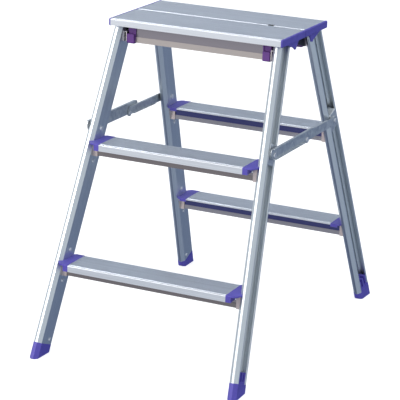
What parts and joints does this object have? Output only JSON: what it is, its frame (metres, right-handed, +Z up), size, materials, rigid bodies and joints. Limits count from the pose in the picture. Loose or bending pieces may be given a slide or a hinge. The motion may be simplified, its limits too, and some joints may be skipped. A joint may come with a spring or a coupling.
{
  "type": "step ladder",
  "caption": "Double-sided folding aluminium step ladder with split platform, ribbed treads, violet end caps and feet, and two folding braces.",
  "frame": {"origin": "on the floor, midway between the four feet, under the middle of the platform", "axes": "+Z up, +X to the right along the treads as seen from the front frame, +Y from the front frame towards the rear frame"},
  "size_m": [0.496, 0.789, 0.712],
  "materials": {
    "tread_aluminium": "ribbed extrusion, satin",
    "stile_aluminium": "mill finish extrusion, drawn along its length",
    "spacer_aluminium": "cast, dull",
    "violet_plastic": "moulded, satin, fine grain",
    "dark_plastic": "moulded, dull",
    "brace_steel": "zinc plated sheet",
    "hinge_steel": "zinc plated plate",
    "rivet_steel": "bright, domed heads"
  },
  "bodies": {
    "front_frame": {"front_beam_socket_left": "violet_plastic", "front_beam_socket_right": "violet_plastic", "front_brace_pivot_blocks": "spacer_aluminium", "front_brace_pivot_rivets": "rivet_steel", "front_foot_rivets": "rivet_steel", "front_hinge_clevis_left": "hinge_steel", "front_hinge_clevis_right": "hinge_steel", "front_hinge_rivets": "rivet_steel", "front_left_foot": "violet_plastic", "front_left_stile": "stile_aluminium", "front_lower_cap_left": "violet_plastic", "front_lower_cap_right": "violet_plastic", "front_lower_tread": "tread_aluminium", "front_middle_cap_left": "violet_plastic", "front_middle_cap_right": "violet_plastic", "front_middle_tread": "tread_aluminium", "front_platform_cap_left": "violet_plastic", "front_platform_cap_right": "violet_plastic", "front_platform_tread": "tread_aluminium", "front_right_foot": "violet_plastic", "front_right_stile": "stile_aluminium", "front_tread_brackets": "spacer_aluminium", "front_tread_rivets": "rivet_steel", "hinge_pins": "hinge_steel"},
    "rear_frame": {"rear_beam_socket_left": "violet_plastic", "rear_beam_socket_right": "violet_plastic", "rear_brace_pivot_blocks": "spacer_aluminium", "rear_brace_pivot_rivets": "rivet_steel", "rear_foot_rivets": "rivet_steel", "rear_hinge_rivets": "rivet_steel", "rear_hinge_tongue_left": "hinge_steel", "rear_hinge_tongue_right": "hinge_steel", "rear_left_foot": "violet_plastic", "rear_left_stile": "stile_aluminium", "rear_lower_cap_left": "violet_plastic", "rear_lower_cap_right": "violet_plastic", "rear_lower_tread": "tread_aluminium", "rear_middle_cap_left": "violet_plastic", "rear_middle_cap_right": "violet_plastic", "rear_middle_tread": "tread_aluminium", "rear_platform_cap_left": "violet_plastic", "rear_platform_cap_right": "violet_plastic", "rear_platform_insert": "dark_plastic", "rear_platform_tread": "tread_aluminium", "rear_right_foot": "violet_plastic", "rear_right_stile": "stile_aluminium", "rear_tread_brackets": "spacer_aluminium", "rear_tread_rivets": "rivet_steel"},
    "left_front_link": {"brace_elbow_rivet_left": "rivet_steel", "brace_front_link_left": "brace_steel"},
    "right_front_link": {"brace_elbow_rivet_right": "rivet_steel", "brace_front_link_right": "brace_steel"},
    "left_rear_link": {"brace_elbow_tail_left": "rivet_steel", "brace_rear_link_left": "brace_steel"},
    "right_rear_link": {"brace_elbow_tail_right": "rivet_steel", "brace_rear_link_right": "brace_steel"}
  },
  "joints": [
    {"name": "fold", "type": "hinge", "parent": "front_frame", "child": "rear_frame", "pos_m": [0, 0, 0.69], "axis": [-1, 0, 0], "range_deg": [0, 50]},
    {"name": "left_front_link_pivot", "type": "hinge", "parent": "front_frame", "child": "left_front_link", "pos_m": [-0.2198, -0.17253, 0.475], "axis": [1, 0, 0], "range_deg": [0, 42.05]},
    {"name": "left_rear_link_pivot", "type": "hinge", "parent": "rear_frame", "child": "left_rear_link", "pos_m": [-0.2174, 0.17253, 0.475], "axis": [-1, 0, 0], "range_deg": [0, 48.62]},
    {"name": "right_front_link_pivot", "type": "hinge", "parent": "front_frame", "child": "right_front_link", "pos_m": [0.2198, -0.17253, 0.475], "axis": [1, 0, 0], "range_deg": [0, 42.05]},
    {"name": "right_rear_link_pivot", "type": "hinge", "parent": "rear_frame", "child": "right_rear_link", "pos_m": [0.2174, 0.17253, 0.475], "axis": [-1, 0, 0], "range_deg": [0, 48.62]}
  ],
  "couplings": [
    {"joint": "left_front_link_pivot", "follows": "fold", "ratio": 0.829},
    {"joint": "left_rear_link_pivot", "follows": "fold", "ratio": 0.9603},
    {"joint": "right_front_link_pivot", "follows": "fold", "ratio": 0.829},
    {"joint": "right_rear_link_pivot", "follows": "fold", "ratio": 0.9603}
  ]
}
